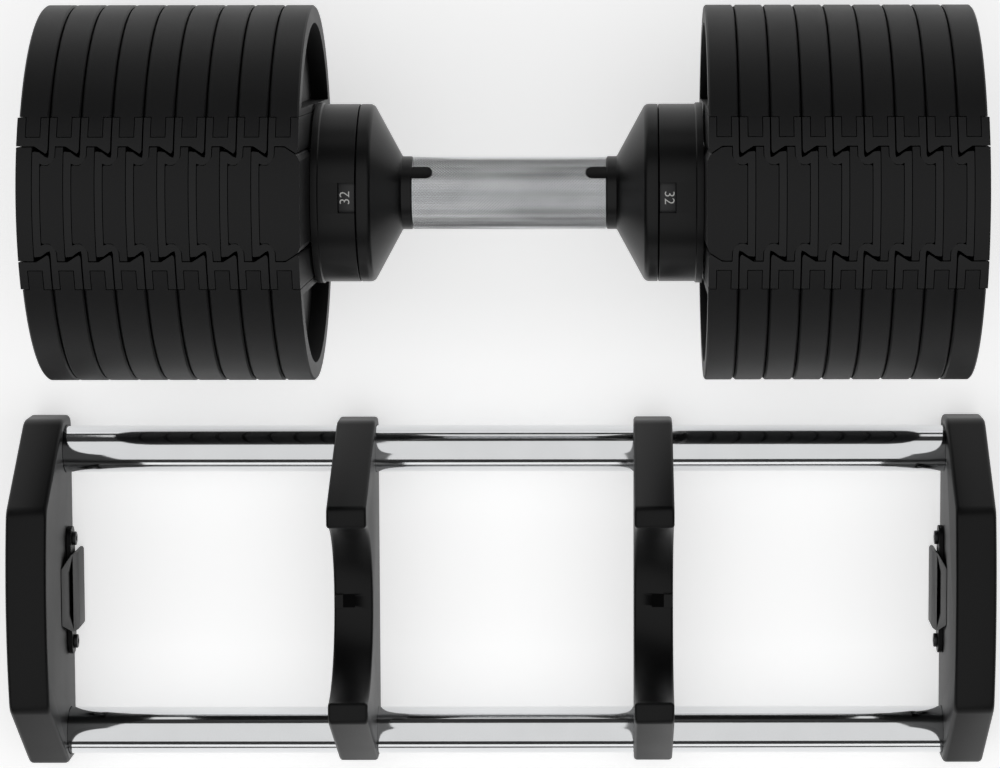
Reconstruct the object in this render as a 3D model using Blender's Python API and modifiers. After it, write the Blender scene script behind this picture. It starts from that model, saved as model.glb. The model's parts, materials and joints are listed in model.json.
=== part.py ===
"""An adjustable dumbbell and the cradle that it is stored and set in, in metres, +Z up.

The dumbbell stands on the floor behind the cradle, both lying along X. Turning the handle
drives two half-round selector shafts through the stacks of plates by opposed helical grooves.
The origin is on the floor, at the middle of the whole layout.
"""

import math

import bmesh
import bpy
from mathutils import Matrix

MM = 0.001
GAP = 0.3
LEFT, RIGHT = -1, 1
SIDES = {"left": LEFT, "right": RIGHT}
EASE = 0.2
LONG = 400
DISC_SEGMENTS = 32
ROUND_SEGMENTS = 24
BORE_SEGMENTS = 12

# Layout on the floor (millimetres, as every size below)
PLATE_R = 85.0
DUMBBELL_AT = (5.0, 96.75, PLATE_R)
CRADLE_AT = (0.0, -98.25, 0.0)

# Plates: distances s run outboard from the inboard face of each plate's ring
PLATES = 9
PITCH = 13.4
STACK_START = 88.0
RING_THICK = 12.8
LAST_THICK = 13.5
FRAME_HALF = 37.0
BLOCK_HALF = 24.4
SHAFT_BORE_R = 11.0
LINK_HALF_HEIGHT = 70.0
LINK_S, LINK_T, POCKET_T = (6.5, 9.75), (24.55, 28.75), (24.0, 29.0)
RIM = 8.0
RECESS_DEPTH, RECESS_FLAT = 8.0, 40.5
COVER_HALF_HEIGHT, COVER_S = 64.0, (12.3, LAST_THICK)
NOTCH_TOP = -43.0
NOTCH_DEPTH = 4.6

# Handle
GRIP_HALF, GRIP_R, GRIP_BORE_R = 44.0, 16.5, 13.0
KEY_ANGLE = 37.4
KEY_LENGTH, KEY_WIDTH = 9.6, 6.4
NECK_END, NECK_R = 48.5, 16.6
DRUM_R, CONE_END, BAND_END = 40.3, 61.4, 67.1
RING_R, RING_INNER_R, RING_X, RING_END = 38.3, 33.0, 67.5, 74.8
WEB_END, HUB_R = 70.0, 16.0
SETTINGS = 16
TURN = math.radians(337.5)
SLEEVE_HALF, SLEEVE_R, SLEEVE_BORE_R = 60.0, 12.8, 10.6

# Selector shafts
SHAFT_R, SHAFT_FLAT = 10.2, 0.4
SHAFT_INNER, SHAFT_TIP = 45.0, 205.0
FOLLOWER_X, FOLLOWER_R, FOLLOWER_REACH = 50.25, 1.8, 11.7
TRAVEL = 100.5
GROOVE_DEPTH_R, GROOVE_HALF = 12.0, 4.0

# Housings, fixed to the innermost plates
HOUSING_END, SHELL_R, WALL_X = 87.0, 38.8, 81.0
WINDOW_X, WINDOW_HALF = 74.9, 6.75
LOCK_X, LOCK_R, LOCK_TOP, LOCK_TIP = 77.5, 2.0, 30.0, 40.1
SPRING_TOP, SPRING_R, SPRING_WIRE = 24.3, 2.4, 0.35

# Cradle
END_IN, END_OUT = 210.0, 229.0
SADDLE_IN, SADDLE_OUT = 61.5, 80.0
BAR_Y, BAR_Z, BAR_R, BAR_HOLE_R = 68.5, 18.5, 11.1, 11.45
SOCKET_DEPTH = 12.0
SADDLE_R, SADDLE_Z = 40.8, 88.2
CROWN_HALF, CROWN_RISE, CROWN_TOP = 47.0, 5.0, 80.0
FOOT_TOP, BASE_Z = 2.2, 2.5


def clear_scene():
    for old in list(bpy.data.objects):
        bpy.data.objects.remove(old, do_unlink=True)


def collection(name, hidden=False):
    made = bpy.data.collections.new(name)
    made.hide_render = hidden
    bpy.context.scene.collection.children.link(made)
    return made


def material(name, colour, roughness, metallic=0.0):
    made = bpy.data.materials.new(name)
    made.use_nodes = True
    shader = made.node_tree.nodes["Principled BSDF"]
    shader.inputs["Base Color"].default_value = (*colour, 1.0)
    shader.inputs["Roughness"].default_value = roughness
    shader.inputs["Metallic"].default_value = metallic
    return made


clear_scene()
PARTS = collection("adjustable_dumbbell")
CUTTERS = collection("cutters", hidden=True)
STEEL_BLACK = material("coated_plate_steel", (0.012, 0.012, 0.013), 0.42)
NYLON = material("glass_filled_nylon", (0.02, 0.02, 0.021), 0.5)
GLOSS = material("black_housing_plastic", (0.01, 0.01, 0.011), 0.28)
CHROME = material("bright_chrome", (0.78, 0.78, 0.78), 0.12, 1.0)
STEEL = material("machined_steel", (0.5, 0.5, 0.5), 0.32, 1.0)
CRADLE_BLACK = material("cradle_plastic", (0.014, 0.014, 0.015), 0.36)
RUBBER = material("foot_rubber", (0.03, 0.03, 0.03), 0.8)


def anchor(name, place):
    """An empty at a reference point, which the pieces around it are placed from."""
    empty = bpy.data.objects.new(name, None)
    empty.location = [MM * value for value in place]
    PARTS.objects.link(empty)
    return empty


DUMBBELL = anchor("dumbbell_centre", DUMBBELL_AT)
CRADLE = anchor("cradle_centre", CRADLE_AT)


def add(name, mesh, finish, parent, cutter=False):
    obj = bpy.data.objects.new(name, mesh)
    (CUTTERS if cutter else PARTS).objects.link(obj)
    obj.parent = parent
    if cutter:
        obj.hide_render = True
        obj.display_type = "WIRE"
    elif finish:
        mesh.materials.append(finish)
    return obj


def finish_mesh(name, bm):
    bmesh.ops.recalc_face_normals(bm, faces=bm.faces)
    mesh = bpy.data.meshes.new(name)
    bm.to_mesh(mesh)
    bm.free()
    return mesh


def box(name, low, high, parent, finish=None, cutter=False):
    """A box between two corners in the parent's frame."""
    bm = bmesh.new()
    bmesh.ops.create_cube(bm, size=1.0)
    size = [MM * (b - a) for a, b in zip(low, high)]
    middle = [MM * (a + b) / 2 for a, b in zip(low, high)]
    bmesh.ops.transform(bm, matrix=Matrix.LocRotScale(middle, None, size), verts=bm.verts)
    return add(name, finish_mesh(name, bm), finish, parent, cutter)


def rod_mesh(name, radius, length, segments, turn):
    bm = bmesh.new()
    bmesh.ops.create_cone(
        bm,
        cap_ends=True,
        segments=segments,
        radius1=MM * radius,
        radius2=MM * radius,
        depth=MM * length,
        matrix=turn,
    )
    mesh = finish_mesh(name, bm)
    mesh.shade_smooth()
    mesh.set_sharp_from_angle(angle=math.radians(35))
    return mesh


ALONG = {
    "x": Matrix.Rotation(math.pi / 2, 4, "Y"),
    "y": Matrix.Rotation(math.pi / 2, 4, "X"),
    "z": Matrix.Identity(4),
}


def rod(name, radius, start, end, parent, finish=None, along="x", at=(0, 0), segments=32, cutter=False):
    """A cylinder along one axis, from start to end, centred at the two other coordinates."""
    middle = {
        "x": ((start + end) / 2, at[0], at[1]),
        "y": (at[0], (start + end) / 2, at[1]),
        "z": (at[0], at[1], (start + end) / 2),
    }[along]
    mesh = rod_mesh(name, radius, abs(end - start), segments, ALONG[along])
    obj = add(name, mesh, finish, parent, cutter)
    obj.location = [MM * value for value in middle]
    return obj


def turned(name, profile, side, parent, finish=None, segments=ROUND_SEGMENTS, cutter=False):
    """A profile of (distance out, radius) points, outer side running outboard, turned about X."""
    mesh = bpy.data.meshes.new(name)
    points = [(MM * r, 0.0, MM * x) for x, r in reversed(profile)]
    count = len(points)
    mesh.from_pydata(points, [(i, (i + 1) % count) for i in range(count)], [])
    obj = add(name, mesh, finish, parent, cutter)
    obj.rotation_euler = (0.0, side * math.pi / 2, 0.0)
    screw = obj.modifiers.new("turn", "SCREW")
    screw.axis = "Z"
    screw.steps = screw.render_steps = segments
    screw.use_merge_vertices = True
    screw.merge_threshold = 0.00005
    screw.use_smooth_shade = True
    return obj


def prism(name, outline, low, high, parent, finish=None, face="z", cutter=False):
    """A flat outline pushed from low to high: in X,Y along Z, in Y,Z along X or in X,Z along Y."""
    curve = bpy.data.curves.new(name, "CURVE")
    curve.dimensions = "2D"
    curve.fill_mode = "BOTH"
    curve.extrude = MM * (high - low) / 2
    spline = curve.splines.new("POLY")
    spline.points.add(len(outline) - 1)
    for point, (a, b) in zip(spline.points, outline):
        point.co = (MM * a, MM * b, 0.0, 1.0)
    spline.use_cyclic_u = True
    guide = add(name + "_outline", curve, None, None, cutter=True)
    graph = bpy.context.evaluated_depsgraph_get()
    made = bpy.data.meshes.new_from_object(guide.evaluated_get(graph))
    bpy.data.objects.remove(guide, do_unlink=True)
    bm = bmesh.new()
    bm.from_mesh(made)
    bpy.data.meshes.remove(made)
    bmesh.ops.remove_doubles(bm, verts=bm.verts, dist=1e-6)
    obj = add(name, finish_mesh(name, bm), finish, parent, cutter)
    middle = MM * (low + high) / 2
    if face == "x":
        obj.rotation_euler = (math.pi / 2, 0.0, math.pi / 2)
        obj.location = (middle, 0.0, 0.0)
    elif face == "y":
        obj.rotation_euler = (math.pi / 2, 0.0, 0.0)
        obj.location = (0.0, middle, 0.0)
    else:
        obj.location = (0.0, 0.0, middle)
    return obj


def combine(obj, operation, *others):
    for other in others:
        modifier = obj.modifiers.new(operation.lower(), "BOOLEAN")
        modifier.operation = operation
        modifier.solver = "EXACT"
        modifier.object = other
    return obj


def cut(obj, *others):
    return combine(obj, "DIFFERENCE", *others)


def join(obj, *others):
    return combine(obj, "UNION", *others)


def half_round(name, radius, start, end, flat, facing, parent, finish=None, segments=32, cutter=False):
    """The part of a cylinder along X that lies past a flat, at y = flat, on the facing side."""
    bm = bmesh.new()
    bmesh.ops.create_cone(
        bm,
        cap_ends=True,
        segments=segments,
        radius1=MM * radius,
        radius2=MM * radius,
        depth=MM * abs(end - start),
        matrix=Matrix.Translation((MM * (start + end) / 2, 0.0, 0.0)) @ ALONG["x"],
    )
    sliced = bmesh.ops.bisect_plane(
        bm,
        geom=bm.verts[:] + bm.edges[:] + bm.faces[:],
        plane_co=(0.0, MM * flat, 0.0),
        plane_no=(0.0, -facing, 0.0),
        clear_outer=True,
    )
    edges = [item for item in sliced["geom_cut"] if isinstance(item, bmesh.types.BMEdge)]
    bmesh.ops.contextual_create(bm, geom=edges)
    mesh = finish_mesh(name, bm)
    mesh.shade_smooth()
    mesh.set_sharp_from_angle(angle=math.radians(35))
    return add(name, mesh, finish, parent, cutter)


def mirrored(run):
    return [(s, -t) for s, t in reversed(run)]


def loop(outer, inner):
    """A closed outline from its outer and inner runs at t >= 0 and their mirror images."""
    return outer + mirrored(outer) + mirrored(inner) + inner


def on_side(outline, start, side):
    return [(side * (start + s), t) for s, t in outline]


def arc(radius, start, end, steps, centre=(0.0, 0.0)):
    """Points on a circle from one angle to another, in degrees."""
    angles = [math.radians(start + (end - start) * i / steps) for i in range(steps + 1)]
    return [(centre[0] + radius * math.cos(a), centre[1] + radius * math.sin(a)) for a in angles]


def rounded(corners, steps=2):
    """An outline whose corners (a, b, radius) are replaced by arcs tangent to their sides."""
    outline = []
    count = len(corners)
    for i, (a, b, radius) in enumerate(corners):
        if not radius:
            outline.append((a, b))
            continue
        before = corners[i - 1]
        after = corners[(i + 1) % count]
        back = math.atan2(before[1] - b, before[0] - a)
        on = math.atan2(after[1] - b, after[0] - a)
        half = abs(math.remainder(on - back, 2 * math.pi)) / 2
        reach = radius / math.tan(half)
        start = (a + reach * math.cos(back), b + reach * math.sin(back))
        end = (a + reach * math.cos(on), b + reach * math.sin(on))
        middle = back + math.remainder(on - back, 2 * math.pi) / 2
        centre_far = radius / math.sin(half)
        centre = (a + centre_far * math.cos(middle), b + centre_far * math.sin(middle))
        first = math.atan2(start[1] - centre[1], start[0] - centre[0])
        sweep = math.remainder(math.atan2(end[1] - centre[1], end[0] - centre[0]) - first, 2 * math.pi)
        for step in range(steps + 1):
            angle = first + sweep * step / steps
            outline.append((centre[0] + radius * math.cos(angle), centre[1] + radius * math.sin(angle)))
    return outline


# ---------------------------------------------------------------- plates

DISC = rod("disc_envelope", PLATE_R, -LONG, LONG, DUMBBELL, segments=DISC_SEGMENTS, cutter=True)
BORE = rod("shaft_bore", SHAFT_BORE_R, -LONG, LONG, DUMBBELL, segments=BORE_SEGMENTS, cutter=True)

# A nylon frame: two legs astride the steel, a groove for its neighbour's tongue, and its own tongue
HOOK = [(0.0, FRAME_HALF), (3.3, FRAME_HALF), (3.3, 28.6), (9.9, 28.6), (9.9, FRAME_HALF)]
GROOVE = [(5.8, 24.9), (0.9, 21.8), (0.0, 23.5)]
TONGUE_OUT = [(RING_THICK, FRAME_HALF), (RING_THICK, 21.5), (14.4, 20.5), (17.0, 22.4), (19.9, 22.3)]
TONGUE_IN = [(16.7, 17.6), (13.2, 17.0), (10.3, 20.5), (10.2, 24.9)]
LAST_LEG = [(LAST_THICK, FRAME_HALF), (LAST_THICK, 24.9)]

# The steel: half a ring with its leg and link, then the block that the frame wraps
RING_HALF = [
    (0.0, 37.3), (0.0, 86.0), (RING_THICK, 86.0), (RING_THICK, 37.3), (9.6, 37.3), (9.6, 28.9), (9.3, 28.9),
    (9.3, BLOCK_HALF),
]
BLOCK = [(9.9, BLOCK_HALF), (10.0, 20.4), (13.0, 16.7), (16.4, 16.8)]
LAST_BLOCK = [(LAST_THICK, BLOCK_HALF)]
LEG = [(6.8, 28.9), (3.6, 28.9), (3.6, 37.3)]
FILLED_GROOVE = [(-0.7, 18.5), (0.5, 20.9), (5.5, 24.2), (6.8, BLOCK_HALF)]


def across(name, s_range, t_range, z_range, start, side):
    """A box cutter in a plate's own distances."""
    low, high = sorted(side * (start + s) for s in s_range)
    return box(name, (low, t_range[0], z_range[0]), (high, t_range[1], z_range[1]), DUMBBELL, cutter=True)


def link_cuts(tag, start, side, is_core):
    """The frame's crossbar shows at top and bottom, and the steel's link passes between them."""
    if not is_core:
        height = (-LINK_HALF_HEIGHT - GAP, LINK_HALF_HEIGHT + GAP)
        return [
            across(f"{tag}_pocket_{way}", LINK_S, sorted(way * t for t in POCKET_T), height, start, side)
            for way in (1, -1)
        ]
    return [
        across(
            f"{tag}_link_{way}_{up}",
            LINK_S,
            sorted(way * t for t in LINK_T),
            sorted((up * LINK_HALF_HEIGHT, up * (PLATE_R + 5))),
            start,
            side,
        )
        for way in (1, -1)
        for up in (1, -1)
    ]


def guide_notch(tag, start, side):
    """The dovetail in the outermost plate's foot, which the cradle's guide enters from below."""
    face, floor = LAST_THICK + 0.1, LAST_THICK - NOTCH_DEPTH
    outline = [(face, 16.3), (floor, 24.0), (floor, -24.0), (face, -16.3)]
    return prism(f"{tag}_notch", on_side(outline, start, side), -PLATE_R - 3, NOTCH_TOP, DUMBBELL, cutter=True)


def plate(word, side, number):
    """One steel plate: a slotted ring and the block that carries it on the selector shaft."""
    start = STACK_START + PITCH * (number - 1)
    tag = f"{word}_{number}"
    last = number == PLATES
    outer = RING_HALF + (LAST_BLOCK if last else BLOCK)
    inner = (FILLED_GROOVE if number == 1 else []) + LEG
    name = f"plate_{word}_{number}"
    outline = on_side(loop(outer, inner), start, side)
    steel = prism(name, outline, -PLATE_R - 2, PLATE_R + 2, DUMBBELL, STEEL_BLACK)
    combine(steel, "INTERSECT", DISC)
    cut(steel, *link_cuts(name, start, side, is_core=True))
    if last:
        ends = sorted((side * (start - 2.0), side * (start + 11.0)))
        blind = rod(f"{tag}_blind_bore", SHAFT_BORE_R, *ends, DUMBBELL, segments=BORE_SEGMENTS, cutter=True)
        height = COVER_HALF_HEIGHT + GAP
        seat = across(f"{tag}_cover_seat", (12.0, 15.0), (-26.0, 26.0), (-height, height), start, side)
        cut(steel, blind, seat, guide_notch(name, start, side))
    else:
        cut(steel, BORE)
    if number == 1:
        ends = sorted((side * (start - 2.0), side * (start + RECESS_DEPTH)))
        for way in (1, -1):
            recess = half_round(
                f"{tag}_recess_{way}", PLATE_R - RIM, *ends, way * RECESS_FLAT, way, DUMBBELL,
                segments=DISC_SEGMENTS, cutter=True,
            )
            cut(steel, recess)
    return steel


def plate_frame(word, side, number):
    """The moulded frame that lets each plate slide up and down against its neighbour."""
    start = STACK_START + PITCH * (number - 1)
    name = f"plate_frame_{word}_{number}"
    span = (-PLATE_R - 2, PLATE_R + 2)
    if number < PLATES:
        outline = loop(HOOK + TONGUE_OUT, TONGUE_IN + GROOVE)
        frame = prism(name, on_side(outline, start, side), *span, DUMBBELL, NYLON)
        combine(frame, "INTERSECT", DISC)
        return cut(frame, BORE, *link_cuts(name, start, side, is_core=False))
    half = HOOK + LAST_LEG + GROOVE
    frame = prism(name, on_side(half, start, side), *span, DUMBBELL, NYLON)
    other = prism(f"{name}_half", on_side(mirrored(half), start, side), *span, DUMBBELL, cutter=True)
    height = (-COVER_HALF_HEIGHT, COVER_HALF_HEIGHT)
    cover = across(f"{name}_cover", COVER_S, (-FRAME_HALF + 1, FRAME_HALF - 1), height, start, side)
    join(frame, other, cover)
    combine(frame, "INTERSECT", DISC)
    return cut(frame, *link_cuts(name, start, side, is_core=False), guide_notch(name, start, side))


# ---------------------------------------------------------------- handle

def stadium(start, end, half_width):
    """An outline along X with a round end at its start."""
    way = 1 if end > start else -1
    middle = start + way * half_width
    turn = arc(half_width, 90, 270, 8)
    return [(end, half_width)] + [(middle + way * a, b) for a, b in turn] + [(end, -half_width)]


def key_bar(name, side, start, end, width, low, high):
    """A round-ended bar through the handle at the angle of its two key slots."""
    bar = prism(name, stadium(side * start, side * end, width / 2), low, high, DUMBBELL, cutter=True)
    bar.location = (0.0, 0.0, 0.0)
    turn = Matrix.Rotation(-math.radians(KEY_ANGLE), 4, "X")
    bar.matrix_local = turn @ Matrix.Translation((0.0, 0.0, MM * (low + high) / 2))
    return bar


def grip_tube():
    """The knurled steel tube, with two key slots in each end."""
    profile = [(-GRIP_HALF, GRIP_BORE_R), (-GRIP_HALF, GRIP_R), (GRIP_HALF, GRIP_R), (GRIP_HALF, GRIP_BORE_R)]
    tube = turned("grip_tube", profile, RIGHT, DUMBBELL, CHROME)
    for word, side in SIDES.items():
        start = GRIP_HALF - KEY_LENGTH
        cut(tube, key_bar(f"{word}_key_slot", side, start, GRIP_HALF + 3, KEY_WIDTH, -20.0, 20.0))


def cone_collar(word, side):
    """The cone that fixes the number ring to the grip by two keys in the grip's slots."""
    profile = [
        (GRIP_HALF + GAP, GRIP_BORE_R + EASE),
        (GRIP_HALF + GAP, NECK_R),
        (NECK_END, NECK_R),
        (CONE_END, DRUM_R),
        (BAND_END, DRUM_R),
        (BAND_END, GRIP_BORE_R + EASE),
    ]
    collar = turned(f"{word}_cone_collar", profile, side, DUMBBELL, GLOSS)
    start = GRIP_HALF - KEY_LENGTH + GAP
    key = key_bar(f"{word}_keys", side, start, NECK_END - 1, KEY_WIDTH - 2 * GAP, -20.0, 20.0)
    ends = [(start - 3, GRIP_BORE_R + EASE), (start - 3, NECK_R - 0.1), (NECK_END - 2, NECK_R - 0.1)]
    ends.append((NECK_END - 2, GRIP_BORE_R + EASE))
    wall = turned(f"{word}_key_wall", ends, side, DUMBBELL, cutter=True)
    combine(key, "INTERSECT", wall)
    join(collar, key)


def number_ring(word, side):
    """The ring that carries the settings, with a lock notch inside for each one."""
    profile = [
        (RING_X, HUB_R + GAP),
        (RING_X, RING_R),
        (RING_END, RING_R),
        (RING_END, RING_INNER_R),
        (WEB_END, RING_INNER_R),
        (WEB_END, HUB_R + GAP),
    ]
    ring = turned(f"{word}_number_ring", profile, side, DUMBBELL, GLOSS)
    bm = bmesh.new()
    for index in range(SETTINGS):
        turn = Matrix.Rotation(2 * math.pi * index / SETTINGS, 4, "X")
        low, high = sorted((side * WEB_END, side * (RING_END + 1)))
        place = Matrix.Translation((MM * (low + high) / 2, 0.0, -MM * (RING_INNER_R + 0.5)))
        size = Matrix.Diagonal((MM * (high - low), MM * 4.0, MM * 3.4, 1.0))
        bmesh.ops.create_cube(bm, size=1.0, matrix=turn @ place @ size)
    notches = add(f"{word}_notches", finish_mesh(f"{word}_notches", bm), None, DUMBBELL, cutter=True)
    cut(ring, notches)


def helical_groove(name, side):
    """The groove that a shaft's follower runs in: a rectangle carried round and along a helix."""
    spare = math.radians(15.0)
    turn = TURN + 2 * spare
    travel = TRAVEL * turn / TURN
    steps = 28
    begin_x = side * (FOLLOWER_X + TRAVEL * spare / TURN)
    begin_angle = (0.0 if side == RIGHT else math.pi) + spare
    bm = bmesh.new()
    inside = SLEEVE_BORE_R - 1.0
    section = [
        (-GROOVE_HALF, inside), (GROOVE_HALF, inside), (GROOVE_HALF, GROOVE_DEPTH_R), (-GROOVE_HALF, GROOVE_DEPTH_R),
    ]
    corners = [bm.verts.new((MM * (begin_x + a), MM * r, 0.0)) for a, r in section]
    face = bm.faces.new(corners)
    bmesh.ops.rotate(bm, verts=corners, cent=(0, 0, 0), matrix=Matrix.Rotation(begin_angle, 3, "X"))
    bmesh.ops.spin(
        bm,
        geom=[face] + list(face.edges) + corners,
        cent=(0.0, 0.0, 0.0),
        axis=(1.0, 0.0, 0.0),
        dvec=(-side * MM * travel / steps, 0.0, 0.0),
        angle=-turn,
        steps=steps,
        use_duplicate=False,
    )
    bmesh.ops.holes_fill(bm, edges=bm.edges[:])
    return add(name, finish_mesh(name, bm), None, DUMBBELL, cutter=True)


def cam_sleeve():
    """The sleeve fixed inside the grip, with two opposed helical grooves in its bore."""
    half = SLEEVE_HALF
    profile = [(-half, SLEEVE_BORE_R), (-half, SLEEVE_R), (half, SLEEVE_R), (half, SLEEVE_BORE_R)]
    sleeve = turned("cam_sleeve", profile, RIGHT, DUMBBELL, STEEL, 24)
    cut(sleeve, *(helical_groove(f"{word}_groove", side) for word, side in SIDES.items()))


def selector_shaft(word, side):
    """A half-round steel shaft with the follower that its groove drives."""
    ends = sorted((side * SHAFT_INNER, side * SHAFT_TIP))
    shaft = half_round(f"{word}_selector_shaft", SHAFT_R, *ends, side * SHAFT_FLAT, side, DUMBBELL, STEEL)
    reach = sorted((side * 6.0, side * FOLLOWER_REACH))
    pin = rod(
        f"{word}_follower", FOLLOWER_R, *reach, DUMBBELL, along="y", at=(side * FOLLOWER_X, 0.0),
        segments=12, cutter=True,
    )
    join(shaft, pin)


# ---------------------------------------------------------------- housings and locks

def housing(word, side):
    """The drum fixed to the innermost plate: it carries the handle on its hub."""
    rim = side * (BAND_END + GAP)
    drum = rod(f"{word}_housing", DRUM_R, *sorted((rim, side * HOUSING_END)), DUMBBELL, GLOSS)
    hollow = sorted((side * (BAND_END - 2), side * WALL_X))
    hub = sorted((side * (BAND_END + 0.5), side * (WALL_X + 2)))

    def boss(name, x_range, half, z_range, cutter=True):
        low, high = sorted(side * x for x in x_range)
        return box(name, (low, -half, z_range[0]), (high, half, z_range[1]), DUMBBELL, cutter=cutter)

    cut(drum, rod(f"{word}_drum_hollow", SHELL_R, *hollow, DUMBBELL, cutter=True))
    join(
        drum,
        rod(f"{word}_hub", HUB_R, *hub, DUMBBELL, cutter=True),
        boss(f"{word}_lock_boss", (RING_END + 0.4, WALL_X + 1), 5.5, (-39.4, -34.9)),
        boss(f"{word}_spring_boss", (RING_END + 0.4, WALL_X + 1), 4.0, (-24.0, -21.0)),
    )
    ends = sorted((side * (BAND_END - 1), side * (HOUSING_END + 1)))
    cut(
        drum,
        half_round(f"{word}_hub_bore", SLEEVE_BORE_R, *ends, side * 0.1, side, DUMBBELL, None, 32, True),
        boss(f"{word}_window", (BAND_END - 1, WINDOW_X), WINDOW_HALF, (30.0, 45.0)),
        boss(f"{word}_lug_pocket", (75.6, 80.2), 4.0, (-45.0, -38.9)),
        rod(
            f"{word}_lock_hole", LOCK_R + GAP, -42.0, -30.0, DUMBBELL, along="z",
            at=(side * LOCK_X, 0.0), segments=16, cutter=True,
        ),
    )


def lock_pin(word, side):
    """The pin that the cradle pushes in: until then its hook holds a notch of the number ring."""
    pin = rod(
        f"{word}_lock_pin", LOCK_R, -LOCK_TIP, -LOCK_TOP, DUMBBELL, STEEL, along="z",
        at=(side * LOCK_X, 0.0), segments=16,
    )
    low, high = sorted((side * 72.0, side * LOCK_X))
    hook = box(f"{word}_hook", (low, -1.4, -32.4), (high, 1.4, -30.3), DUMBBELL, cutter=True)
    join(pin, hook)


def lock_spring(word, side):
    """The coil spring that pushes the pin out when the dumbbell leaves its cradle."""
    turns, per_turn = 3, 8
    count = turns * per_turn + 1
    bottom, top = LOCK_TOP - GAP - SPRING_WIRE, SPRING_TOP + SPRING_WIRE
    curve = bpy.data.curves.new(f"{word}_lock_spring", "CURVE")
    curve.dimensions = "3D"
    curve.bevel_depth = MM * SPRING_WIRE
    curve.bevel_resolution = 2
    curve.use_fill_caps = True
    spline = curve.splines.new("POLY")
    spline.points.add(count - 1)
    for index, point in enumerate(spline.points):
        angle = 2 * math.pi * index / per_turn
        height = -(top + (bottom - top) * index / (count - 1))
        x = side * LOCK_X + (SPRING_R - SPRING_WIRE) * math.cos(angle)
        y = (SPRING_R - SPRING_WIRE) * math.sin(angle)
        point.co = (MM * x, MM * y, MM * height, 1.0)
    add(f"{word}_lock_spring", curve, STEEL, DUMBBELL)


# ---------------------------------------------------------------- cradle

def bar_cutters(tag, x_range):
    ends = sorted(x_range)
    return [
        rod(f"{tag}_bar_{way}", BAR_HOLE_R, *ends, CRADLE, at=(way * BAR_Y, BAR_Z), segments=24, cutter=True)
        for way in (1, -1)
    ]


def cradle_end(word, side):
    """An end bracket: a thick moulded plate with a blind socket and a screw hole for each bar."""
    radius = (CROWN_HALF**2 + CROWN_RISE**2) / (2 * CROWN_RISE)
    spread = math.degrees(math.asin(CROWN_HALF / radius))
    crown = arc(radius, 90 - spread, 90 + spread, 6, (0.0, CROWN_TOP - radius))
    right = [(83.5, BASE_Z, 6.0), (83.5, 26.0, 12.0)]
    left = [(-a, b, r) for a, b, r in reversed(right)]
    outline = rounded(right + [(a, b, 0.0) for a, b in crown] + left)
    low, high = sorted((side * END_IN, side * END_OUT))
    bracket = prism(f"cradle_{word}_end", outline, low, high, CRADLE, CRADLE_BLACK, face="x")
    cut(bracket, *bar_cutters(f"{word}_end", (side * (END_IN - 2), side * (END_IN + SOCKET_DEPTH))))
    for way in (1, -1):
        at = (way * BAR_Y, BAR_Z)
        through = sorted((side * (END_IN + 5), side * (END_OUT + 5)))
        head = sorted((side * (END_OUT - 3.5), side * (END_OUT + 5)))
        hole = rod(f"{word}_screw_hole_{way}", 3.3, *through, CRADLE, at=at, segments=12, cutter=True)
        counterbore = rod(f"{word}_counterbore_{way}", 6.0, *head, CRADLE, at=at, segments=12, cutter=True)
        cut(bracket, hole, counterbore)


def cradle_saddle(word, side):
    """A middle bracket: it slides over both bars, and its round seat takes the dumbbell's drum."""
    edge = math.degrees(math.asin((86.0 - SADDLE_Z) / SADDLE_R))
    seat = arc(SADDLE_R, edge, -180 - edge, 20, (0.0, SADDLE_Z))
    flank = [(82.5, BASE_Z, 6.0), (82.5, 24.0, 12.0), (50.0, 86.0, 4.0)]
    left = [(-a, b, r) for a, b, r in reversed(flank)]
    outline = rounded(flank + [(a, b, 0.0) for a, b in seat] + left)
    low, high = sorted((side * SADDLE_IN, side * SADDLE_OUT))
    bracket = prism(f"cradle_{word}_saddle", outline, low, high, CRADLE, CRADLE_BLACK, face="x")
    near, far = sorted((side * 75.6, side * 79.7))
    lug = box(f"{word}_lug", (near, -3.1, 44.0), (far, 3.1, 48.9), CRADLE, cutter=True)
    near, far = sorted((side * 70.0, side * 77.0))
    step = box(f"{word}_lug_step", (near, -3.1, 44.5), (far, 3.1, 47.75), CRADLE, cutter=True)
    join(bracket, lug, step)
    cut(bracket, *bar_cutters(f"{word}_saddle", (side * (SADDLE_IN - 2), side * (SADDLE_OUT + 2))))


def cradle_bar(name, way):
    """A polished round bar, tapped at both ends for the screws that hold the end brackets."""
    reach = END_IN + SOCKET_DEPTH - 2 * GAP
    bar = rod(name, BAR_R, -reach, reach, CRADLE, CHROME, at=(way * BAR_Y, BAR_Z), segments=24)
    for word, side in SIDES.items():
        ends = sorted((side * (reach - 16), side * (reach + 3)))
        tap = rod(f"{name}_{word}_tap", 3.0, *ends, CRADLE, at=(way * BAR_Y, BAR_Z), segments=12, cutter=True)
        cut(bar, tap)


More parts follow.
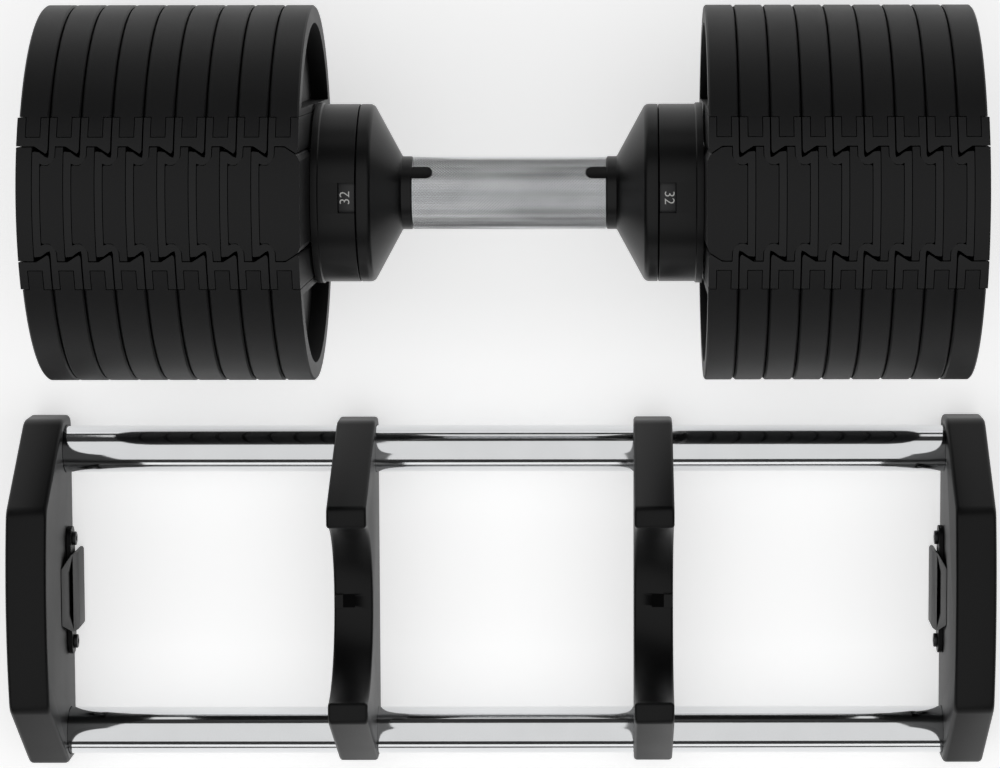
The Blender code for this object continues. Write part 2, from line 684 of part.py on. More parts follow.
def cradle_guide(word, side):
    """A hollow dovetail screwed to an end bracket, which leads the last plate in and holds it."""
    wall = END_IN - GAP
    tip = 204.8
    outer = [(wall, 13.5), (tip, 22.5), (tip, -22.5), (wall, -13.5)]
    inner = [(wall - 1.6, 10.2), (tip + 1.8, 18.2), (tip + 1.8, -18.2), (wall - 1.6, -10.2)]
    guide = prism(f"cradle_{word}_guide", on_side(outer, 0, side), 4.0, 42.0, CRADLE, CRADLE_BLACK)
    hollow = prism(f"{word}_guide_hollow", on_side(inner, 0, side), 6.0, 60.0, CRADLE, cutter=True)
    plate_low, plate_high = sorted((side * (wall - 2.0), side * wall))
    ears = box(f"{word}_ears", (plate_low, -31.0, 12.0), (plate_high, 31.0, 24.0), CRADLE, cutter=True)
    join(guide, ears)
    wedge = [(wall + 1, 44.0), (wall + 1, 70.0), (tip - 2, 70.0), (tip - 2, 9.0)]
    slope = prism(f"{word}_guide_slope", on_side(wedge, 0, side), -40, 40, CRADLE, face="y", cutter=True)
    cut(guide, hollow, slope)


def cradle_foot(word, side):
    """A rubber strip under an end bracket."""
    low, high = sorted((side * (END_IN + 4), side * (END_OUT - 4)))
    box(f"cradle_{word}_foot", (low, -72.0, 0.0), (high, 72.0, FOOT_TOP), CRADLE, RUBBER)


for side_word, side_sign in SIDES.items():
    for plate_number in range(1, PLATES + 1):
        plate(side_word, side_sign, plate_number)
        plate_frame(side_word, side_sign, plate_number)
    cone_collar(side_word, side_sign)
    number_ring(side_word, side_sign)
    selector_shaft(side_word, side_sign)
    housing(side_word, side_sign)
    lock_pin(side_word, side_sign)
    lock_spring(side_word, side_sign)
    cradle_end(side_word, side_sign)
    cradle_saddle(side_word, side_sign)
    cradle_guide(side_word, side_sign)
    cradle_foot(side_word, side_sign)
grip_tube()
cam_sleeve()
cradle_bar("cradle_rear_bar", 1)
cradle_bar("cradle_front_bar", -1)
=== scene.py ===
"""The looks of an adjustable dumbbell and its cradle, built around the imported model, in metres.

Sizes in each section are millimetres from the piece's own reference, as on a maker's drawing.
"""

import json
import math

import bmesh
import bpy
import numpy as np
from mathutils import Matrix, Vector


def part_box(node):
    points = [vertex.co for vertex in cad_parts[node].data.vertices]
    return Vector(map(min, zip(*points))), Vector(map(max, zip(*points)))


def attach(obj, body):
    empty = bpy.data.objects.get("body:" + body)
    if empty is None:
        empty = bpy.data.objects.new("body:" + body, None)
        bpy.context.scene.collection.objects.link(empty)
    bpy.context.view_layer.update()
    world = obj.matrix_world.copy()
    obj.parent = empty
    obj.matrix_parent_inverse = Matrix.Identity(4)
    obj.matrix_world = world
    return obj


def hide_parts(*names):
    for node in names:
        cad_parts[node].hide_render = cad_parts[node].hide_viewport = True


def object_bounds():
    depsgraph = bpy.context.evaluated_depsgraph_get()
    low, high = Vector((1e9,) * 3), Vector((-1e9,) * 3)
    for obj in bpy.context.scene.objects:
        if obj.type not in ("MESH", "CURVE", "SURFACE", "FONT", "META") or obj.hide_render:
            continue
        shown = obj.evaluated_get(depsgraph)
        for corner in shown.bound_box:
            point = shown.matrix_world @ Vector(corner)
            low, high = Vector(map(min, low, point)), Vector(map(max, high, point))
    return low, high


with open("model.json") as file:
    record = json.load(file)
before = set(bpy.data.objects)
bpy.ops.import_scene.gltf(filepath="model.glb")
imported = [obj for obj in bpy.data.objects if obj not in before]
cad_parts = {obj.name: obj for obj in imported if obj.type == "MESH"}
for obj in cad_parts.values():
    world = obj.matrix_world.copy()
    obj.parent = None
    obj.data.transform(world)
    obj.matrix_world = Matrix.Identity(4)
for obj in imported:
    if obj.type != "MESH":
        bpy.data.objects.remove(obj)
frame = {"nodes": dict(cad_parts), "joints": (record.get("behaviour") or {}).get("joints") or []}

cad_low, cad_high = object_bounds()
MM = 0.001
SIDES = {"left": -1, "right": 1}

# ------------------------------------------------------------------ steel plates
# Nine plates a side, each a slotted steel ring and the block that carries it on the selector
# shaft, flame cut, machined and then coated in a black satin powder with a fine grain.
# Each is a plan outline carried up and down to the round rim, with its edges broken.

AXIS = next(joint["pos_m"] for joint in frame["joints"] if joint["name"] == "grip_turn")
PLATES = 9
PLATE_R = AXIS[2] / MM
RING_THICK = 12.8
EDGE_BREAK = 0.6
RIM_CHAMFER = 0.75
MERGE_WITHIN = 0.004 * MM
SPLIT_WITHIN = 1e-5


class Signal:
    """A number on its way through a shader, which Python's operators act on with Math nodes."""

    def __init__(self, tree, socket):
        self.tree = tree
        self.socket = socket

    def reach(self, operation, first, second=None):
        step = self.tree.nodes.new("ShaderNodeMath")
        step.operation = operation
        for place, value in zip(step.inputs, (first, second)):
            if isinstance(value, Signal):
                self.tree.links.new(value.socket, place)
            elif value is not None:
                place.default_value = value
        return Signal(self.tree, step.outputs[0])

    def __add__(self, other):
        return self.reach("ADD", self, other)

    def __radd__(self, other):
        return self.reach("ADD", other, self)

    def __sub__(self, other):
        return self.reach("SUBTRACT", self, other)

    def __rsub__(self, other):
        return self.reach("SUBTRACT", other, self)

    def __mul__(self, other):
        return self.reach("MULTIPLY", self, other)

    def __rmul__(self, other):
        return self.reach("MULTIPLY", other, self)


class Finish:
    """A maker's finish: one Principled surface and the nodes that vary it."""

    def __init__(self, name, **fixed):
        self.material = bpy.data.materials.new(name)
        self.material.use_nodes = True
        self.tree = self.material.node_tree
        self.shader = self.tree.nodes["Principled BSDF"]
        self.place = self.node("ShaderNodeTexCoord", output="Object")
        for label, value in fixed.items():
            self.shader.inputs[label.replace("_", " ")].default_value = value

    def node(self, kind, settings=None, output=0, **inputs):
        """Any other node: its settings first, then the values or links of its sockets."""
        made = self.tree.nodes.new(kind)
        for label, value in (settings or {}).items():
            setattr(made, label, value)
        for label, value in inputs.items():
            socket = made.inputs[int(label[1:]) if label[1:].isdigit() else label]
            if isinstance(value, Signal):
                self.tree.links.new(value.socket, socket)
            else:
                socket.default_value = value
        return Signal(self.tree, made.outputs[output])

    def grain(self, scale, detail=3.0, place=None):
        """Noise with so many features to the metre."""
        return self.node("ShaderNodeTexNoise", Vector=place or self.place, Scale=scale, Detail=detail)

    def between(self, amount, low, high):
        """A colour that goes from low to high with amount."""
        colours = {"_6": (*low, 1.0), "_7": (*high, 1.0)}
        return self.node("ShaderNodeMix", {"data_type": "RGBA"}, output=2, Factor=amount, **colours)

    def feed(self, **links):
        for label, signal in links.items():
            self.tree.links.new(signal.socket, self.shader.inputs[label.replace("_", " ")])

    def bumped(self, height, strength, distance):
        bump = self.node("ShaderNodeBump", Height=height, Strength=strength, Distance=distance * MM)
        self.feed(Normal=bump)
        return self


def coated_steel():
    """Black powder coat: a fine even grain, faintly greyer where it is rubbed."""
    finish = Finish("black_coated_steel", Specular_IOR_Level=0.24)
    fine = finish.grain(1500.0, 2.0)
    broad = finish.grain(38.0, 4.0)
    finish.feed(
        Base_Color=finish.between(broad * 0.7 + fine * 0.3, (0.003, 0.003, 0.0032), (0.0075, 0.0075, 0.008)),
        Roughness=0.37 + 0.12 * broad + 0.08 * fine,
    )
    return finish.bumped(fine, 0.32, 0.12).material


PLATE_FINISH = coated_steel()


def shown(name, mesh, finish):
    """An object at the origin that shows a mesh in a finish."""
    mesh.materials.append(finish)
    made = bpy.data.objects.new(name, mesh)
    bpy.context.scene.collection.objects.link(made)
    return made


def put(name, points, faces, finish):
    """A piece from an array of points and a list of faces."""
    mesh = bpy.data.meshes.new(name)
    mesh.from_pydata(points, [], faces)
    return shown(name, mesh, finish)


def closed(piece, smooth_to=32.0):
    """Merges what meets, turns the faces outwards and shades the round stretches smooth."""
    bm = bmesh.new()
    bm.from_mesh(piece.data)
    bmesh.ops.remove_doubles(bm, verts=bm.verts, dist=MERGE_WITHIN)
    bmesh.ops.dissolve_degenerate(bm, edges=bm.edges, dist=0.001 * MM)
    bmesh.ops.recalc_face_normals(bm, faces=bm.faces)
    bm.to_mesh(piece.data)
    bm.free()
    piece.data.shade_smooth()
    piece.data.set_sharp_from_angle(angle=math.radians(smooth_to))
    return piece


def settled(piece):
    """Turns a piece's modifiers into its mesh."""
    graph = bpy.context.evaluated_depsgraph_get()
    mesh = bpy.data.meshes.new_from_object(piece.evaluated_get(graph))
    piece.modifiers.clear()
    old = piece.data
    piece.data = mesh
    bpy.data.meshes.remove(old)
    return piece


def carved(piece, *tools, operation="DIFFERENCE"):
    """Cuts the tools out of a piece, or joins them to it, and clears them away."""
    for tool in tools:
        step = piece.modifiers.new("carve", "BOOLEAN")
        step.operation = operation
        step.solver = "EXACT"
        step.object = tool
    settled(piece)
    for tool in tools:
        bpy.data.objects.remove(tool, do_unlink=True)
    return piece


def eased(piece, width, segments=2, angle=38.0):
    """Rounds a piece's sharp edges."""
    bevel = piece.modifiers.new("eased", "BEVEL")
    bevel.width = width * MM
    bevel.segments = segments
    bevel.limit_method = "ANGLE"
    bevel.angle_limit = math.radians(angle)
    bevel.use_clamp_overlap = True
    bevel.harden_normals = True
    return piece


def split(bm, at, facing, **trim):
    """Cuts every face of a mesh along the plane through a point."""
    whole = bm.verts[:] + bm.edges[:] + bm.faces[:]
    return bmesh.ops.bisect_plane(bm, geom=whole, plane_co=at, plane_no=facing, **trim)


def bent(mesh, lift):
    """Moves a mesh's corners (u, v, w) to lift(u, v, w), worked out for them all at once."""
    flat = np.empty(len(mesh.vertices) * 3)
    mesh.vertices.foreach_get("co", flat)
    places = np.stack(lift(*flat.reshape(-1, 3).T), 1)
    mesh.vertices.foreach_set("co", places.astype(np.float32).ravel())
    return mesh


def slab(name, outline, levels, lift, finish, lengthwise=()):
    """A flat outline in (u, v), split at each level of v, doubled and walled round its rim.

    It is split at each lengthwise u too. lift(u, v, side) then gives x, y and z for whole
    arrays, side being 0 below and 1 above.
    """
    bm = bmesh.new()
    corners = [bm.verts.new((u, v, 0.0)) for u, v in outline]
    bm.faces.new(corners)
    for level in levels:
        split(bm, (0, level, 0), (0, 1, 0), dist=SPLIT_WITHIN)
    for u in lengthwise:
        split(bm, (u, 0, 0), (1, 0, 0), dist=SPLIT_WITHIN)
    upper = bmesh.ops.extrude_face_region(bm, geom=bm.faces[:])
    raised = [item for item in upper["geom"] if isinstance(item, bmesh.types.BMVert)]
    bmesh.ops.translate(bm, verts=raised, vec=(0.0, 0.0, 1.0))
    mesh = bpy.data.meshes.new(name)
    bm.to_mesh(mesh)
    bm.free()
    return closed(shown(name, bent(mesh, lambda u, v, side: lift(u, v, side.round())), finish))


def turned(x, radius, angle, about=AXIS):
    """Points x along an axis and a radius out from it, at angles counted from straight up."""
    x, radius, angle = np.broadcast_arrays(x, radius, angle)
    return about[0] + MM * x, about[1] + MM * radius * np.sin(angle), about[2] + MM * radius * np.cos(angle)


def revolved(name, profile, side, finish, turns=96, about=AXIS):
    """A closed profile of (distance out, radius) carried round an axis along X."""
    x, radius = np.array(profile, float).T
    angle = np.arange(turns)[:, None] * 2 * math.pi / turns
    points = np.stack(turned(side * x, radius, angle, about), -1)
    return closed(put(name, points.reshape(-1, 3), woven(turns, len(x)), finish))


def woven(rows, columns):
    """The quads of a grid of points that is closed round in both directions."""
    i, j = np.arange(rows)[:, None], np.arange(columns)
    here, far = i * columns, (i + 1) % rows * columns
    far_j = (j + 1) % columns
    return np.stack([here + j, far + j, far + far_j, here + far_j], -1).reshape(-1, 4).tolist()


def arced(corners, steps=4):
    """Corners (a, b, radius) joined up, each rounded by an arc that touches both its sides."""
    outline = []
    for i, (a, b, radius) in enumerate(corners):
        here = np.array((a, b))
        if not radius:
            outline.append((a, b))
            continue
        back = np.array(corners[i - 1][:2]) - here
        on = np.array(corners[(i + 1) % len(corners)][:2]) - here
        back, on = back / np.hypot(*back), on / np.hypot(*on)
        half = math.acos(np.clip(back @ on, -1, 1)) / 2
        centre = here + (back + on) / np.hypot(*(back + on)) * radius / math.sin(half)
        first = here + back * radius / math.tan(half) - centre
        last = here + on * radius / math.tan(half) - centre
        swing = math.remainder(math.atan2(last[1], last[0]) - math.atan2(first[1], first[0]), 2 * math.pi)
        angle = math.atan2(first[1], first[0]) + np.linspace(0, swing, steps + 1)
        outline += list(zip(centre[0] + radius * np.cos(angle), centre[1] + radius * np.sin(angle)))
    return outline


def looped(outer, inner):
    """A symmetric outline from its outer and inner runs at v >= 0."""
    def across(run):
        return [(u, -v, *rest) for u, v, *rest in reversed(run)]
    return outer + across(outer) + across(inner) + inner


def rim_places(side, out, v, up, radius):
    """Where a plan's points come to lie on a round rim: height = square root of r^2 - v^2."""
    height = np.sqrt(np.clip(radius**2 - v**2, 0, None))
    return AXIS[0] + MM * side * out, AXIS[1] + MM * v, AXIS[2] + MM * (2 * up - 1) * height


def on_rim(side, start, radius=PLATE_R):
    """Carries a plan outline, measured outboard from a plate's inboard face, to the round rim."""
    return lambda u, v, up: rim_places(side, start + u, v, up, radius)


def block(name, x_range, y_range, z_range, about=AXIS, finish=None):
    """A plain box between three ranges of millimetres from a reference point."""
    spans = [sorted(span) for span in (x_range, y_range, z_range)]
    corners = [(a, b, c) for a in spans[0] for b in spans[1] for c in spans[2]]
    faces = [(0, 1, 3, 2), (4, 6, 7, 5), (0, 4, 5, 1), (2, 3, 7, 6), (0, 2, 6, 4), (1, 5, 7, 3)]
    points = [[place + MM * value for place, value in zip(about, corner)] for corner in corners]
    return put(name, points, faces, finish or PLATE_FINISH)


def rod(name, radius, x_range, turns=48, about=AXIS, at=(0.0, 0.0)):
    """A plain round tool along X, set off from its reference point by at."""
    low, high = sorted(x_range)
    profile = [(low, 0.0), (low, radius), (high, radius), (high, 0.0)]
    middle = (about[0], about[1] + MM * at[0], about[2] + MM * at[1])
    return revolved(name, profile, 1, PLATE_FINISH, turns, middle)


def half_rod(name, radius, x_range, flat, facing):
    """The part of a round tool along X past a flat at y = flat, on the side that it faces."""
    tool = rod(name, radius, x_range, 64)
    bm = bmesh.new()
    bm.from_mesh(tool.data)
    at = (AXIS[0], AXIS[1] + MM * flat, AXIS[2])
    cut = split(bm, at, (0, -facing, 0), clear_outer=True)
    bmesh.ops.contextual_create(bm, geom=[e for e in cut["geom_cut"] if isinstance(e, bmesh.types.BMEdge)])
    bmesh.ops.recalc_face_normals(bm, faces=bm.faces)
    bm.to_mesh(tool.data)
    bm.free()
    return tool


def fitted(piece, body, slot, *nodes):
    """Puts a finished piece on its body and in place of its plain nodes; its slot is not used."""
    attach(piece, body)
    if nodes:
        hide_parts(*nodes)
    return piece


RIM_ANGLES = np.radians(np.arange(-87.5, 87.6, 2.5))
RING_HALF, BLOCK_HALF, DRAW_IN = 37.3, 24.4, 60.0
SHAFT_BORE_R = 11.0
LINK_OUT, LINK_ACROSS, LINK_HALF = (6.5, 9.75), (24.45, 28.85), 70.0
PAST_RIM = 90.0
COVER_HALF = 64.0
SEAT_OUT, SEAT_HALF = (12, 15), 26
DISH_FLAT, DISH_R, DISH_DEEP = 40.5, 77.0, 8.0
NOTCH_FOOT, NOTCH_TALL = -88.0, 45.0
NOTCH = [(13.6, 16.3, 0), (8.9, 24.0, 0), (8.9, -24.0, 0), (13.6, -16.3, 0)]
RING = [
    (0.0, RING_HALF, 0), (0.0, PLATE_R, 0), (RING_THICK, PLATE_R, 0), (RING_THICK, RING_HALF, 0),
    (9.6, RING_HALF, 0), (9.6, 28.9, 0), (9.3, 28.9, 0), (9.3, BLOCK_HALF, 0),
]
BLOCK = [(9.9, BLOCK_HALF, 0), (10.0, 20.5, 1.2), (13.0, 16.65, 1.4), (16.4, 16.9, 0.8)]
LAST_BLOCK = [(13.5, BLOCK_HALF, 0)]
LEG = [(6.8, 28.9, 0), (3.6, 28.9, 0), (3.6, RING_HALF, 0)]
FILLED = [(-0.7, 18.5, 0.5), (0.5, 20.9, 0.6), (5.5, 24.2, 0), (6.8, BLOCK_HALF, 0)]


def ring_start(word, number):
    """Where a plate's inboard ring face stands, from the CAD."""
    low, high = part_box(f"plate_frame_{word}_{number}")
    return min(abs(low.x - AXIS[0]), abs(high.x - AXIS[0])) / MM


def on_chamfered_rim(side, start):
    """The same for a plate: the ring's radius is less by the chamfer along both its edges.

    Past DRAW_IN the points come in sideways too, so that the chamfer goes round the ring's ends.
    """
    def lift(u, v, up):
        at_face = np.minimum(np.abs(u), np.abs(u - RING_THICK)) < 0.01
        radius = PLATE_R - RIM_CHAMFER * (at_face & (np.abs(v) > RING_HALF - 0.1))
        across = np.where(np.abs(v) > DRAW_IN, v * radius / PLATE_R, v)
        return rim_places(side, start + u, across, up, radius)
    return lift


def notch_tool(side, start):
    """The dovetail in the last plate's foot, which the cradle's guide enters."""
    def lift(u, v, up):
        height = NOTCH_FOOT + NOTCH_TALL * up
        return AXIS[0] + MM * side * (start + u), AXIS[1] + MM * v, AXIS[2] + MM * height
    return slab("notch", arced(NOTCH), [], lift, PLATE_FINISH)


def out_from(side, start, reach):
    """A pair of distances outboard of a plate's inboard face, as a range along X."""
    return tuple(side * (start + distance) for distance in reach)


def steel_plate(word, side, number):
    """The plate's outline on the rim, then bored, and slotted for the frame's two cross links."""
    start = ring_start(word, number)
    last = number == PLATES
    outline = arced(looped(RING + (LAST_BLOCK if last else BLOCK), (FILLED if number == 1 else []) + LEG), 3)
    plate = slab(
        f"steel_plate_{word}_{number}", outline, PLATE_R * np.sin(RIM_ANGLES), on_chamfered_rim(side, start),
        PLATE_FINISH, (RIM_CHAMFER, RING_THICK - RIM_CHAMFER)
    )
    tools = [rod("bore", SHAFT_BORE_R, out_from(side, start, (-2, 11.0 if last else 20.0)))]
    for way in (1, -1):
        across = [way * value for value in LINK_ACROSS]
        for up in (1, -1):
            tall = (up * LINK_HALF, up * PAST_RIM)
            tools.append(block("link", out_from(side, start, LINK_OUT), across, tall))
    if last:
        tools.append(notch_tool(side, start))
        seat_z = (-COVER_HALF - 0.3, COVER_HALF + 0.3)
        tools.append(block("seat", out_from(side, start, SEAT_OUT), (-SEAT_HALF, SEAT_HALF), seat_z))
    if number == 1:
        for way in (1, -1):
            near, far = way * DISH_FLAT, way * DISH_R
            dish = [(-3.0, near), (-3.0, far), (DISH_DEEP, far), (DISH_DEEP, near)]
            levels = DISH_R * np.sin(RIM_ANGLES)
            tools.append(slab("dish", dish, levels, on_rim(side, start, DISH_R), PLATE_FINISH))
    carved(plate, *tools)
    closed(plate)
    return eased(plate, EDGE_BREAK)


for word, side in SIDES.items():
    for number in range(1, PLATES + 1):
        fitted(steel_plate(word, side, number), "dumbbell", "plate_steel", f"plate_{word}_{number}")

# ------------------------------------------------------------------ frames between the plates
# A nylon frame moulded round the block of each plate, with a tongue that slides up and down in
# the next frame's groove; the last ones are shut by a flat cover.

HOOK = [(0.0, 37.0, 0), (3.3, 37.0, 0), (3.3, 28.6, 0), (9.9, 28.6, 0), (9.9, 37.0, 0)]
TONGUE_OUT = [
    (RING_THICK, 37.0, 0), (RING_THICK, 21.5, 0), (13.1, 20.0, 0), (14.4, 20.5, 0), (17.0, 22.4, 0),
    (19.5, 22.7, 0), (19.9, 22.3, 0),
]
TONGUE_IN = [
    (16.7, 17.6, 0), (15.0, 16.9, 0), (13.2, 17.0, 0), (11.4, 18.2, 0), (10.3, 20.5, 0), (10.2, 24.9, 0),
]
GROOVE = [(5.8, 24.9, 0), (0.9, 21.8, 0), (0.3, 22.3, 0), (0.0, 23.5, 0)]
LAST_LEG = [(13.5, 37.0, 0), (13.5, 24.9, 0)]
FRAME_LEVELS = PLATE_R * np.sin(np.radians(np.arange(-25.0, 25.1, 2.5)))
COVER_OUT, COVER_WIDE = (12.3, 13.5), 36
LINK_GAP = 0.3


def moulded_nylon():
    """Glass-filled nylon: a touch greyer and softer in its shine than the coated steel."""
    finish = Finish("moulded_black_nylon", Specular_IOR_Level=0.28)
    fine = finish.grain(2600.0, 2.0)
    broad = finish.grain(60.0, 3.0)
    finish.feed(
        Base_Color=finish.between(broad, (0.005, 0.005, 0.0053), (0.009, 0.009, 0.0095)),
        Roughness=0.42 + 0.12 * broad,
    )
    return finish.bumped(fine, 0.15, 0.06).material


FRAME_FINISH = moulded_nylon()


def plate_frame(word, side, number):
    """One looped outline on the rim; the last frame is two legs joined by the flat cover."""
    start = ring_start(word, number)
    name = f"nylon_frame_{word}_{number}"
    if number < PLATES:
        whole = looped(HOOK + TONGUE_OUT, TONGUE_IN + GROOVE)
        frame_piece = slab(name, arced(whole), FRAME_LEVELS, on_rim(side, start), FRAME_FINISH)
        tools = [rod("bore", SHAFT_BORE_R, out_from(side, start, (-2, 22)))]
    else:
        half = HOOK + LAST_LEG + GROOVE
        other = [(u, -v, r) for u, v, r in reversed(half)]
        frame_piece = slab(name, arced(half), FRAME_LEVELS, on_rim(side, start), FRAME_FINISH)
        twin = slab("twin", arced(other), FRAME_LEVELS, on_rim(side, start), FRAME_FINISH)
        wide, tall = (-COVER_WIDE, COVER_WIDE), (-COVER_HALF, COVER_HALF)
        cover = block("cover", out_from(side, start, COVER_OUT), wide, tall, finish=FRAME_FINISH)
        carved(frame_piece, twin, cover, operation="UNION")
        tools = [notch_tool(side, start)]
    along, height = out_from(side, start, LINK_OUT), LINK_HALF + LINK_GAP
    tools += [block("pocket", along, (way * 24.0, way * 29.0), (-height, height)) for way in (1, -1)]
    carved(frame_piece, *tools)
    closed(frame_piece)
    return eased(frame_piece, 0.3, 2, 50.0)


for word, side in SIDES.items():
    for number in range(1, PLATES + 1):
        fitted(plate_frame(word, side, number), "dumbbell", "frame_nylon", f"plate_frame_{word}_{number}")

# ------------------------------------------------------------------ grip
# A steel tube with a diamond knurl rolled into it, chromed bright, and slotted at both ends for
# the keys of the two cones.

GRIP_HALF = 44.0
GRIP_R, GRIP_BORE_R = 16.5, 13.0
KNURL_HALF, KNURL_DEPTH = 43.6, 0.22
KNURL_ROUND, KNURL_ALONG = 72, 60
KEY_ANGLES = {"rear": math.radians(37.4), "front": math.radians(217.4)}
KEY_START, SLOT_HALF = 34.4, 3.2
KEY_LEVELS = [-2, -1, 0, 1, 2]
GRIP_END = [(KNURL_HALF + 0.1, 16.1), (GRIP_HALF, 15.9), (GRIP_HALF, 13.3), (GRIP_HALF - 0.3, GRIP_BORE_R)]
KNURL_CREASE = 20.0


def bright_chrome(name, low, high, rough_low, rough_span):
    """Chrome plate: nearly a mirror, with a breath of haze where hands and cloths have been."""
    finish = Finish(name, Metallic=1.0)
    haze = finish.grain(45.0, 4.0)
    finish.feed(Base_Color=finish.between(haze, low, high), Roughness=rough_low + rough_span * haze)
    return finish.bumped(finish.grain(700.0, 2.0), 0.04, 0.02).material


GRIP_FINISH = bright_chrome("knurled_chrome", (0.66, 0.67, 0.68), (0.82, 0.83, 0.84), 0.10, 0.12)


def wrapped(side, angle, inner, outer):
    """Wraps a plan (distance out, distance round) on the handle's axis between two radii."""
    return lambda u, v, up: turned(side * u, inner + (outer - inner) * up, angle + v / GRIP_R)


def key_outline(start, end, half):
    """A bar with a round inner end, as cut by an end mill."""
    turn = np.linspace(math.pi / 2, 3 * math.pi / 2, 13)
    inner_end = [(start + half + half * math.cos(a), half * math.sin(a)) for a in turn]
    return [(end, half)] + inner_end + [(end, -half)]


def knurled_grip():
    """Radius = R - depth x (how far a point is into the nearest V of two crossing helical sets).

    Rows run round and columns along, four to a pitch: a crest's middle two quarters are flat and
    each V falls and rises over the other two. A square is split on the diagonal that a V runs on.
    """
    rows, inside = 4 * KNURL_ROUND, 4 * KNURL_ALONG + 1
    along = np.linspace(-KNURL_HALF, KNURL_HALF, inside)
    end_x, end_r = np.array(GRIP_END).T
    x = np.concatenate([along, end_x, -end_x[::-1]])
    i, j = np.meshgrid(np.arange(rows), np.arange(len(x)), indexing="ij")
    in_valley = ((i + j) % 4 == 2) | ((i - j) % 4 == 2)
    radius = np.where(j < inside, GRIP_R - KNURL_DEPTH * in_valley, 0.0)
    radius[:, inside:] = np.concatenate([end_r, end_r[::-1]])
    points = np.stack(turned(x, radius, 2 * math.pi * i / rows), -1)
    faces = []
    for a, b, c, d in woven(rows, len(x)):
        row, column = divmod(a, len(x))
        if column >= inside - 1:
            faces.append((a, b, c, d))
        elif (row - column) % 4 == 2:
            faces += [(a, b, c), (a, c, d)]
        else:
            faces += [(a, b, d), (b, c, d)]
    grip = put("knurled_grip", points.reshape(-1, 3), faces, GRIP_FINISH)
    closed(grip, KNURL_CREASE)
    slots = []
    outline = key_outline(KEY_START, GRIP_HALF + 3, SLOT_HALF)
    for side in SIDES.values():
        for angle in KEY_ANGLES.values():
            slots.append(slab("slot", outline, KEY_LEVELS, wrapped(side, angle, 11.0, 19.0), GRIP_FINISH))
    carved(grip, *slots)
    grip.data.set_sharp_from_angle(angle=math.radians(KNURL_CREASE))
    return grip


fitted(knurled_grip(), "handle", "grip_chrome", "grip_tube")

# ------------------------------------------------------------------ cones at the ends of the grip
# Each is moulded in black plastic with a soft gloss, turned with the grip by two keys that fill
# its slots, and rounded over at its widest.

def glossy_moulding():
    """Black moulding with a soft gloss and the faint unevenness of a cooled skin."""
    finish = Finish("black_glossy_moulding", Specular_IOR_Level=0.25)
    skin = finish.grain(22.0, 3.0)
    fine = finish.grain(900.0, 3.0)
    finish.feed(
        Base_Color=finish.between(skin, (0.002, 0.002, 0.0021), (0.004, 0.004, 0.0042)),
        Roughness=0.26 + 0.12 * skin + 0.05 * fine,
    )
    return finish.bumped(fine, 0.06, 0.04).material


HOUSING_FINISH = glossy_moulding()
DRUM_R = 40.3
NECK_START, NECK_R = 44.05, 16.6
COLLAR_BORE, KEY_R = 13.2, 16.25
CONE = [
    (NECK_START, COLLAR_BORE, 0), (NECK_START, NECK_R, 0.5), (48.5, NECK_R, 0.8), (61.4, DRUM_R, 3.0),
    (67.1, DRUM_R, 0.5), (67.1, COLLAR_BORE, 0),
]

for word, side in SIDES.items():
    cone = revolved(f"{word}_cone", arced(CONE, 6), side, HOUSING_FINISH, 144)
    fitted(cone, "handle", "housing_plastic", f"{word}_cone_collar")
    for where, angle in KEY_ANGLES.items():
        outline = key_outline(KEY_START + 0.3, 46.0, SLOT_HALF - 0.3)
        lift = wrapped(side, angle, COLLAR_BORE, KEY_R)
        key = slab(f"{word}_{where}_key", outline, KEY_LEVELS, lift, HOUSING_FINISH)
        fitted(eased(key, 0.3), "handle", "housing_plastic")

# ------------------------------------------------------------------ number rings
# The ring behind each cone carries the settings in white and has a notch inside for each one,
# which the lock pin's hook drops into.

RING_R, RING_INNER_R, NOTCH_R = 38.3, 33.0, 35.19
SETTINGS = 16
STEP_ANGLE = 2 * math.pi / SETTINGS
NOTCH_HALF = math.radians(3.45)
NOTCH_ANGLES = np.radians([-8.0, -5.5, -3.5, -3.4, 0.0, 3.4, 3.5, 5.5, 8.0, 11.25])
DIAL = [
    (67.5, 16.3, 0), (67.5, RING_R, 0.3), (74.8, RING_R, 0.3), (74.8, 35.2, 0), (74.8, RING_INNER_R, 0),
    (70.0, RING_INNER_R, 0), (70.0, 16.3, 0),
]


def satin_dial():
    """The dial's black: moulded satin, so that the numerals stay easy to read."""
    finish = Finish("satin_dial_black")
    fine = finish.grain(1200.0, 3.0)
    finish.feed(
        Base_Color=finish.between(fine, (0.008, 0.008, 0.009), (0.014, 0.014, 0.015)),
        Roughness=0.4 + 0.14 * fine,
    )
    return finish.bumped(fine, 0.08, 0.04).material


def numeral_paint():
    """White printing ink, slightly uneven in its cover."""
    finish = Finish("white_numeral_ink")
    cover = finish.grain(1800.0, 3.0)
    finish.feed(
        Base_Color=finish.between(cover, (0.62, 0.62, 0.60), (0.82, 0.82, 0.80)),
        Roughness=0.5 + 0.1 * cover,
    )
    return finish.material


DIAL_FINISH = satin_dial()
INK = numeral_paint()
CAP_HEIGHT, INK_THICK, NUMERALS_OUT = 4.4, 0.12, 72.0
CAP_TO_SIZE = 0.7
FIGURE_CUTS = np.arange(-4.0, 4.1, 0.8)


